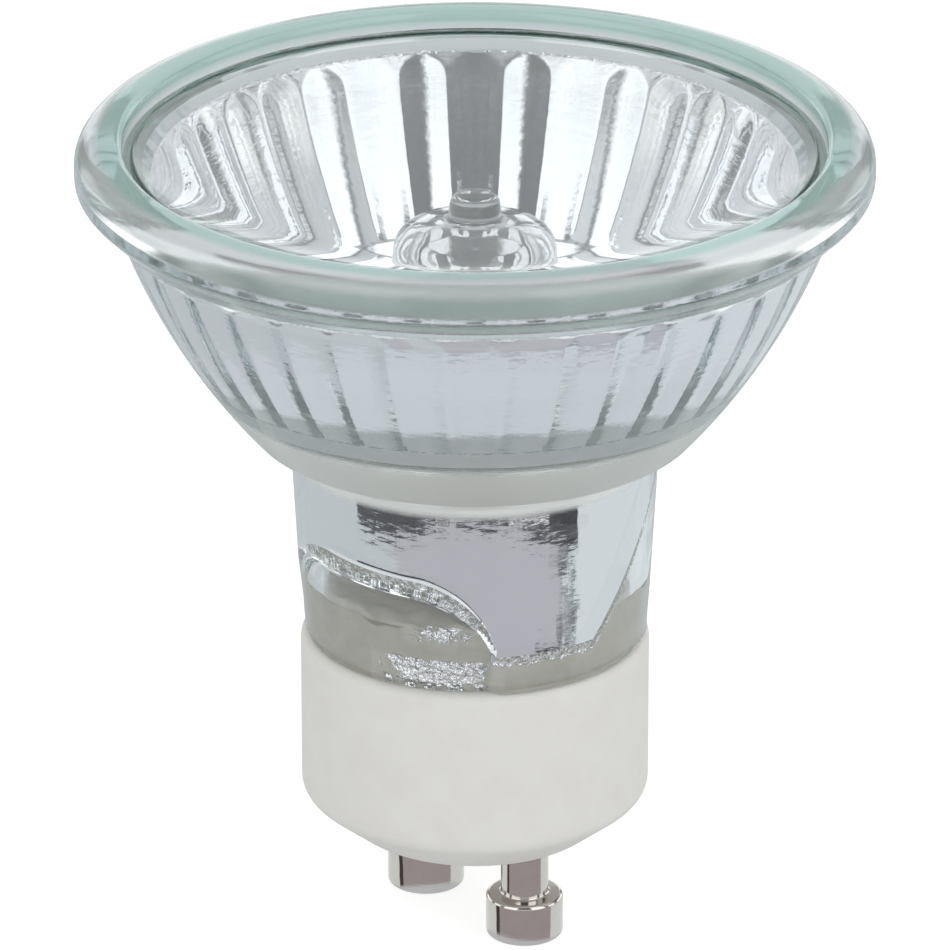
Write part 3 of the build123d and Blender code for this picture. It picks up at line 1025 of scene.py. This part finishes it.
@dataclass
class Base:
    """Ceramic cup, the cement inside it and the two headed contact pins."""

    radius: float = 11.25
    foot: float = 6.6
    lip: float = 20.1
    lip_round: float = 0.65
    lip_inner_round: float = 0.15
    foot_r: float = 8.0
    slope_h: float = 2.6
    slope_round: float = 1.2
    cavity_r: float = 9.85
    cavity: float = 10.0
    cavity_round: float = 0.6
    cup_step: float = 1.2
    pin_x: float = 5.0
    pin_gap: float = 0.01
    pin_step: float = 0.8
    pin_steps: int = 64
    head_r: float = 2.5
    head_h: float = 2.9
    head_edge: float = 0.3
    shank_r: float = 1.55
    shank_root_round: float = 0.15
    shank_round: float = 0.05
    stem_r: float = 1.2
    stem_hole_r: float = 1.25
    drill_h: float = 8.0
    rivet_r: float = 1.9
    rivet_top: float = 10.6
    rivet_edge: float = 0.1
    rivet_round: float = 0.3
    cement_foot: float = 12.1
    cement_top: float = 24.7
    cement_gap: float = 0.05
    cement_foot_round: float = 0.5
    cement_top_round: float = 0.3
    cement_step: float = 0.3
    cement_steps: int = 240
    lump_zone: float = 0.4
    lump_h: float = 0.45
    lump_sink: float = 0.3
    lumps_per_mm: float = 0.7
    bore_r: float = 9.8
    wetted: float = 0.04
    steps: int = 144

    def cup(self) -> Piece:
        """Models the ceramic cup with the holes for the pins.

        Returns:
            The cup.
        """
        corners = [(0.0, self.foot, 0.0), (self.foot_r, self.foot, self.slope_round)]
        corners += [(self.radius, self.foot + self.slope_h, self.slope_round), (self.radius, self.lip, self.lip_round)]
        corners += [(self.cavity_r, self.lip, self.lip_inner_round), (self.cavity_r, self.cavity, self.cavity_round)]
        corners += [(0.0, self.cavity, 0.0)]
        piece = turned("base_ceramic", divided(rounded(corners), lambda r, z: self.cup_step), self.steps)
        for x in (-self.pin_x, self.pin_x):
            bpy.ops.object.select_all(action="DESELECT")
            place = (x * MM, 0.0, self.foot * MM)
            bpy.ops.mesh.primitive_cylinder_add(
                vertices=32, radius=self.stem_hole_r * MM, depth=self.drill_h * MM, location=place
            )
            drill = bpy.context.object
            bpy.context.view_layer.objects.active = piece
            cut = piece.modifiers.new("pin_hole", "BOOLEAN")
            cut.operation = "DIFFERENCE"
            cut.solver = "EXACT"
            cut.object = drill
            bpy.ops.object.modifier_apply(modifier=cut.name)
            bpy.data.objects.remove(drill)
        steatite = Earthen("unglazed_steatite", "#F0EFEB", "#E9E7E1", 2.4, 0.22, 0.008, 0.55)
        return finish_piece(piece, steatite.material(), ["base"])

    def pin(self, name: str, x: float) -> Piece:
        """Turns one contact pin: head, shank, stem and riveted end.

        Args:
            name: The CAD node that it stands for.
            x: Place of its axis.

        Returns:
            The pin.
        """
        shoulder, rivet_foot = self.foot - self.pin_gap, self.cavity + self.pin_gap
        corners = [(0.0, 0.0, 0.0), (self.head_r, 0.0, self.head_edge), (self.head_r, self.head_h, self.head_edge)]
        corners += [(self.shank_r, self.head_h, self.shank_root_round), (self.shank_r, shoulder, self.shank_round)]
        corners += [(self.stem_r, shoulder, 0.0), (self.stem_r, rivet_foot, 0.0)]
        corners += [(self.rivet_r, rivet_foot, self.rivet_edge), (self.rivet_r, self.rivet_top, self.rivet_round)]
        corners += [(0.0, self.rivet_top, 0.0)]
        profile = divided(rounded(corners), lambda r, z: self.pin_step)
        piece = turned(name + "_turned", profile, self.pin_steps)
        places = vertices(piece)
        places[:, 0] += x
        move_vertices(piece, places)
        finish = "nickel_plated_brass_" + name.removeprefix("contact_pin_")
        nickel = TurnedMetal(finish, "#E0DAD6", "#D2CBC6", 0.08, 0.12, 0.002, x)
        return finish_piece(piece, nickel.material(), [name])

    def cement(self, glass: Reflector) -> Piece:
        """Models the cement that fills the cup and the lower neck, with a lumpy top.

        Args:
            glass: The reflector. Cement wets its glass where the film is missing, so no air shows between them.

        Returns:
            The cement.
        """
        cup_r, neck_r = self.cavity_r - self.cement_gap, self.bore_r - self.cement_gap
        corners = [(0.0, self.cement_foot, 0.0), (cup_r, self.cement_foot, self.cement_foot_round)]
        corners += [(cup_r, self.lip, 0.0), (neck_r, self.lip + self.cement_gap, 0.0)]
        corners += [(neck_r, self.cement_top, self.cement_top_round), (0.0, self.cement_top, 0.0)]
        profile = divided(rounded(corners), lambda r, z: self.cement_step)
        piece = turned("cement_fill", profile, self.cement_steps)
        places = vertices(piece)
        for row in places:
            if row[2] > self.cement_top - self.lump_zone:
                row[2] += self.lump_h * noise.noise(Vector(row) * self.lumps_per_mm) - self.lump_sink
        r, a, z = take_apart(places)
        bare = glass.film(put_together(np.full_like(r, self.bore_r), a, z)) < -glass.film_drop
        wall = (np.abs(r - neck_r) < TOUCH) & (z > self.lip + 2 * self.cement_gap)
        move_vertices(piece, put_together(np.where(wall & bare, self.bore_r + self.wetted, r), a, z))
        putty = Earthen("lamp_cement", "#F4F2E8", "#DEDBCF", 1.6, 0.3, 0.04, 0.85)
        return finish_piece(piece, putty.material(), ["cement"], 50.0)

    def build(self, glass: Reflector) -> list[Piece]:
        """Models the cup, the cement and both pins.

        Args:
            glass: The reflector that the cement fills.

        Returns:
            The four pieces.
        """
        pins = [self.pin("contact_pin_left", -self.pin_x), self.pin("contact_pin_right", self.pin_x)]
        return [self.cup(), self.cement(glass), *pins]


@dataclass
class Wires:
    """The CAD nodes that keep their shape: leads, foils and the filament's support."""

    nodes: tuple[str, ...] = ("lead_left", "lead_right", "foil_left", "foil_right", "filament_support")

    def build(self) -> list[Piece]:
        """Dresses the nodes in bright molybdenum.

        Returns:
            The nodes' objects.
        """
        bright = TurnedMetal("drawn_molybdenum", "#B4B4B8", "#8E8E94", 0.28, 0.15, 0.003).material()
        pieces = [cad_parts[name] for name in self.nodes]
        for piece in pieces:
            piece.data.materials.clear()
            piece.data.materials.append(bright)
            LOG.info("%s: dressed", piece.name)
        return pieces


@dataclass(frozen=True)
class Card:
    """A card on the table that mirrors and glass see: radius and angle of each corner, and a colour.

    Angles run from the front, in degrees to the right. The edge strays by tear, and the card lies drop too low.
    """

    name: str
    outline: tuple[Point, ...]
    colour: str
    tear: float = 0.0
    drop: float = 0.0

    @classmethod
    def sector(
        cls, name: str, radii: Point, angles: Point, colour: str, tear: float = 0.0, drop: float = 0.0
    ) -> "Card":
        """A part of a ring round the lamp.

        Args:
            name: The card's name.
            radii: Inner and outer radius.
            angles: First and last angle.
            colour: Colour as sRGB hex.
            tear: How far its torn edge strays.
            drop: How far below the table it lies.

        Returns:
            The card.
        """
        start, end = angles
        count = max(2, math.ceil((end - start) / 4))
        turns = [start + (end - start) * k / count for k in range(count + 1)]
        outline = tuple((radii[1], t) for t in turns) + tuple((radii[0], t) for t in reversed(turns))
        return cls(name, outline, colour, tear, drop)

    @classmethod
    def comb(cls, name: str, radii: Point, angles: Point, colour: str, pitch: float = 1.6) -> "Card":
        """A strip that points at the lamp, with teeth of uneven length.

        Args:
            name: The card's name.
            radii: Inner and outer radius.
            angles: Angle of the longest teeth and of the other side.
            colour: Colour as sRGB hex.
            pitch: Distance from tooth to tooth.

        Returns:
            The card.
        """
        width = angles[1] - angles[0]
        teeth: list[Point] = []
        spine: list[Point] = []
        for k in range(int((radii[1] - radii[0]) / pitch)):
            length, gap = (noise.noise(Vector((k * 0.73, row, 0.0))) + 0.5 for row in (0.3, 7.7))
            root = angles[1] - width * 0.5 * gap
            tip = root - width * (0.1 + 0.5 * length)
            back = root + 3 * length
            # Each tooth is a trapezium, and the spine behind it steps out and in as unevenly.
            steps = [radii[0] + k * pitch + part for part in (0.0, 0.3, 1.0, 1.2)]
            teeth += zip(steps, (root - 0.6, tip, tip, root - 0.6))
            spine += zip(steps, (root, back, back, root))
        return cls(name, tuple(teeth + spine[::-1]), colour)


@dataclass
class Studio:
    """White sweep, soft boxes round the lamp, cards on the table and the camera at the photo's angle."""

    camera_at: Corner = (421.4, -353.6, 270.1)
    aim: Corner = (0.0, 0.0, 30.653)
    lens: float = 354.48
    sensor: float = 36.0
    front_deg: float = -40.0
    floor_r: float = 900.0
    floor_grey: float = 0.5
    floor_glow: float = 0.72
    floor_plain: float = 0.8
    bounces: int = 20
    box_level: float = 1.5
    ceiling: Colour = (0.26, 0.26, 0.27, 1.0)
    boxes_blue: float = 0.03
    # Elevations in degrees where one ring of greys gives way to the next.
    below_deg: Point = (-4, -10)
    skirt_deg: Point = (22, 12)
    overhead_deg: Point = (60, 72)
    # Greys by angle from the front that mirrors and glass see: in the boxes, under them and below the table.
    boxes: tuple[Point, ...] = (
        ((-180, 0.4), (-150, 0.4), (-140, 0.15), (-110, 0.06), (-100, 0.6), (-72, 0.5), (-66, 0.06), (-60, 1.0))
        + ((-24, 1.0), (-19, 0.075), (19, 0.075), (24, 1.0), (60, 1.0), (66, 0.06), (72, 0.35), (100, 0.5))
        + ((110, 0.06), (140, 0.15), (150, 0.4), (180, 0.4))
    )
    skirt_left: tuple[Point, ...] = (
        ((-180, 0.9), (-162, 0.9), (-158, 0.12), (-150, 0.12), (-146, 1.0), (-112, 1.0), (-108, 0.12), (-98, 0.12))
        + ((-94, 1.0), (-76, 1.0), (-72, 0.12), (-64, 0.12), (-60, 1.0), (-24, 1.0), (-19, 0.45))
    )
    horizon: tuple[Point, ...] = ((-180, 0.5), (-96, 0.5), (-84, 0.08), (74, 0.08), (80, 0.45), (180, 0.5))
    # Greys that light matt surfaces.
    ambient: tuple[Point, ...] = ((-180, 0.8), (-90, 0.68), (-20, 0.95), (20, 1.0), (90, 0.85), (180, 0.8))
    card_depth: float = 0.2
    card_gap: float = 0.1
    tears_per_mm: float = 0.9
    tear_step: float = 1.0
    # The pins mirror the cards that lie low, and the neck mirrors the others. A card hides those after it.
    cards: tuple[Card, ...] = (
        Card.sector("low_table", (0.01, 72.0), (-180.0, 180.0), "#D0D5DA", drop=40.0),
        Card.sector("low_mauve", (72.0, 260.0), (-76.0, 82.0), "#ABA4A7", drop=40.0),
        Card.sector("low_dark", (72.0, 260.0), (-90.0, -76.0), "#4A4442", drop=40.0),
        Card.sector("low_light", (72.0, 260.0), (82.0, 270.0), "#E4EBEA", drop=40.0),
        Card.sector("glint_left", (100.2, 101.4), (-26.0, -12.0), "#F8F8F8", 0.8),
        Card.sector("glint_right", (100.0, 102.1), (22.0, 50.0), "#F8F8F8", 0.8),
        Card(
            "dark_front",
            ((99, -84), (95.5, -66), (96.8, -50), (99.2, -30), (100, -15), (100.2, 0), (100, 15), (98.6, 30))
            + ((95, 49), (93.5, 60), (93.5, 72), (118, 72), (118, 50), (118, 25), (118, 0), (118, -25))
            + ((118, -50), (118, -84)),
            "#38383C",
            1.2,
        ),
        Card(
            "black_smear",
            ((72.5, 40), (72, 50), (71, 60), (69.5, 72), (67.5, 72), (68.5, 60), (69.5, 50), (71, 40)),
            "#2E2E30",
            1.2,
        ),
        Card.comb("black_edge", (64.0, 96.0), (50.0, 72.0), "#3E3E42"),
        Card(
            "grey_table",
            ((43, -10), (60, -16), (78, -29), (83, -37), (88, -46), (93, -56), (96, -68), (99, -84), (106, -84))
            + ((106, -60), (106, -40), (106, -20), (106, 0), (106, 20), (106, 40), (106, 60), (43, 60), (43, 40))
            + ((43, 20), (43, 0)),
            "#B6B6BC",
            2.0,
        ),
        Card.sector("pale_left", (43.0, 130.0), (-150.0, -10.0), "#C2C8CB"),
        Card.sector("pale_right", (43.0, 130.0), (-10.0, 150.0), "#D6DDE0"),
        Card.sector("pale_back", (43.0, 130.0), (150.0, 210.0), "#C0C6C8"),
        Card.sector("far_left", (130.0, 420.0), (-150.0, -10.0), "#E0E5E7"),
        Card.sector("far_right", (130.0, 420.0), (-10.0, 150.0), "#F4F7F8"),
        Card.sector("far_back", (130.0, 420.0), (150.0, 210.0), "#CCD2D4"),
    )

    def place_camera(self) -> None:
        """Sets the camera up, level and without shift."""
        data = bpy.data.cameras.new("camera")
        data.lens = self.lens
        data.sensor_width = self.sensor
        data.clip_start = 0.01
        camera = bpy.data.objects.new("camera", data)
        camera.location = Vector(self.camera_at) * MM
        look = (Vector(self.aim) - Vector(self.camera_at)).normalized()
        camera.rotation_euler = look.to_track_quat("-Z", "Y").to_euler()
        bpy.context.scene.collection.objects.link(camera)
        bpy.context.scene.camera = camera

    def ring(self, tree: Tree, side: Socket, stops: tuple[Point, ...], blue: float = 0.0) -> Socket:
        """Greys round the horizon.

        Args:
            tree: The world's nodes.
            side: Angle from the back, over the left, as a share of a turn.
            stops: Angle from the front, in degrees to the right, and grey of each stop.
            blue: How far the greys lean to blue.

        Returns:
            The colour output.
        """
        ramp = add_node(tree, "ShaderNodeValToRGB", {0: side})
        elements = ramp.color_ramp.elements
        while len(elements) < len(stops):
            elements.new(0.5)
        for element, (angle, grey) in zip(elements, stops):
            element.position = 0.5 + angle / 360
            element.color = (grey * (1 - blue), grey, grey * (1 + blue), 1.0)
        return ramp.outputs[0]

    def step(self, tree: Tree, value: Socket, ends: Point) -> Socket:
        """Soft step over an angle, from 0 at the first end to 1 at the other, in degrees."""
        inputs = {"Value": value, "From Min": math.radians(ends[0]), "From Max": math.radians(ends[1])}
        return add_node(tree, "ShaderNodeMapRange", inputs, interpolation_type="SMOOTHSTEP").outputs[0]

    def light_world(self) -> None:
        """Paints the surroundings that the glass and the mirrors show, fixed to the lamp's own frame."""
        world = bpy.data.worlds.new("studio")
        bpy.context.scene.world = world
        world.use_nodes = True
        tree = world.node_tree
        tree.nodes.clear()
        look = add_node(tree, "ShaderNodeTexCoord").outputs["Generated"]
        parts = add_node(tree, "ShaderNodeSeparateXYZ", {0: look}).outputs
        turn = maths(tree, "ADD", maths(tree, "ARCTAN2", parts[1], parts[0]), -math.radians(self.front_deg))
        turn = maths(tree, "WRAP", turn, math.pi, -math.pi)
        # The ramps run once round the lamp, from the back over the left, the front and the right.
        side = maths(tree, "MULTIPLY_ADD", turn, 1 / math.tau, 0.5)
        height = maths(tree, "ARCSINE", parts[2])
        skirt = self.skirt_left + tuple((-angle, grey) for angle, grey in reversed(self.skirt_left))
        colour = self.ring(tree, side, self.boxes, self.boxes_blue)
        colour = blend(tree, self.step(tree, height, self.overhead_deg), colour, self.ceiling)
        colour = blend(tree, self.step(tree, height, self.skirt_deg), colour, self.ring(tree, side, skirt))
        colour = blend(tree, self.step(tree, height, self.below_deg), colour, self.ring(tree, side, self.horizon))
        path = add_node(tree, "ShaderNodeLightPath").outputs
        levels = ((colour, self.box_level), (self.ring(tree, side, self.ambient), 1.0), (WHITE, 1.0))
        around, fill, white = (
            add_node(tree, "ShaderNodeBackground", {"Color": light, "Strength": strength}).outputs[0]
            for light, strength in levels
        )
        matt = maths(tree, "GREATER_THAN", path["Diffuse Depth"], 0.5)
        shown = add_node(tree, "ShaderNodeMixShader", {0: matt, 1: around, 2: fill}).outputs[0]
        shown = add_node(tree, "ShaderNodeMixShader", {0: path["Is Camera Ray"], 1: shown, 2: white}).outputs[0]
        add_node(tree, "ShaderNodeOutputWorld", {"Surface": shown})

    def lay_floor(self) -> Piece:
        """Lays a pale floor that keeps a faint shadow of the lamp.

        Returns:
            The floor.
        """
        bpy.ops.object.select_all(action="DESELECT")
        bpy.ops.mesh.primitive_circle_add(vertices=96, radius=self.floor_r * MM, fill_type="NGON")
        floor = bpy.context.object
        floor.name = "floor"
        floor.visible_glossy = False
        floor.visible_transmission = False
        material, tree, shader = new_material("pale_floor")
        tree.nodes.remove(shader)
        matt, plain = (
            add_node(tree, "ShaderNodeBsdfDiffuse", {"Color": (grey, grey, grey, 1.0)}).outputs[0]
            for grey in (self.floor_grey, self.floor_plain)
        )
        glow = add_node(tree, "ShaderNodeEmission", {"Color": WHITE, "Strength": self.floor_glow}).outputs[0]
        seen = add_node(tree, "ShaderNodeLightPath").outputs["Is Camera Ray"]
        pale = add_node(tree, "ShaderNodeAddShader", {0: matt, 1: glow}).outputs[0]
        shown = add_node(tree, "ShaderNodeMixShader", {0: seen, 1: plain, 2: pale}).outputs[0]
        plug(tree, tree.nodes["Material Output"], {"Surface": shown})
        floor.data.materials.append(material)
        return floor

    def lay_card(self, card: Card, depth: float) -> Piece:
        """Lays a card that only mirrors and glass see.

        Args:
            card: Its outline and colour.
            depth: How far it lies below the floor.

        Returns:
            The card.
        """
        turns = [math.radians(self.front_deg + angle) for _, angle in card.outline]
        corners = [(r * math.cos(t), r * math.sin(t)) for (r, _), t in zip(card.outline, turns)]
        if card.tear:
            steps = divided(corners + corners[:1], lambda x, y: self.tear_step)[:-1]
            drift = [noise.noise_vector(Vector((x, y, 0.0)) * self.tears_per_mm) * card.tear for x, y in steps]
            corners = [(x + move.x, y + move.y) for (x, y), move in zip(steps, drift)]
        piece = draw(card.name, [(x, y, -depth) for x, y in corners + corners[:1]])
        bpy.ops.mesh.remove_doubles(threshold=MERGE * MM)
        bpy.ops.mesh.fill(use_beauty=False)
        bpy.ops.object.mode_set(mode="OBJECT")
        material, tree, shader = new_material(card.name)
        tree.nodes.remove(shader)
        glow = add_node(tree, "ShaderNodeEmission", {"Color": linear(card.colour), "Strength": 1.0}).outputs[0]
        plug(tree, tree.nodes["Material Output"], {"Surface": glow})
        piece.data.materials.append(material)
        piece.visible_camera = False
        piece.visible_diffuse = False
        piece.visible_shadow = False
        return piece

    def build(self) -> None:
        """Sets up the camera, the light, the floor and the cards."""
        bpy.context.scene.view_settings.view_transform = "Standard"
        # Light runs up the glass wall in a zigzag between the film and the outside, so its path is long.
        paths = bpy.context.scene.cycles
        paths.max_bounces = paths.glossy_bounces = paths.transmission_bounces = self.bounces
        self.place_camera()
        self.light_world()
        self.lay_floor()
        for k, card in enumerate(self.cards):
            self.lay_card(card, self.card_depth + self.card_gap * k + card.drop)


def main() -> None:
    """Builds the lamp piece by piece, then the studio round it."""
    logging.basicConfig(level=logging.INFO, format="%(name)s: %(message)s")
    glass = Reflector()
    glass.build()
    Cover().build()
    Burner().build()
    Base().build(glass)
    Wires().build()
    Studio().build()


if __name__ == "__main__":
    main()
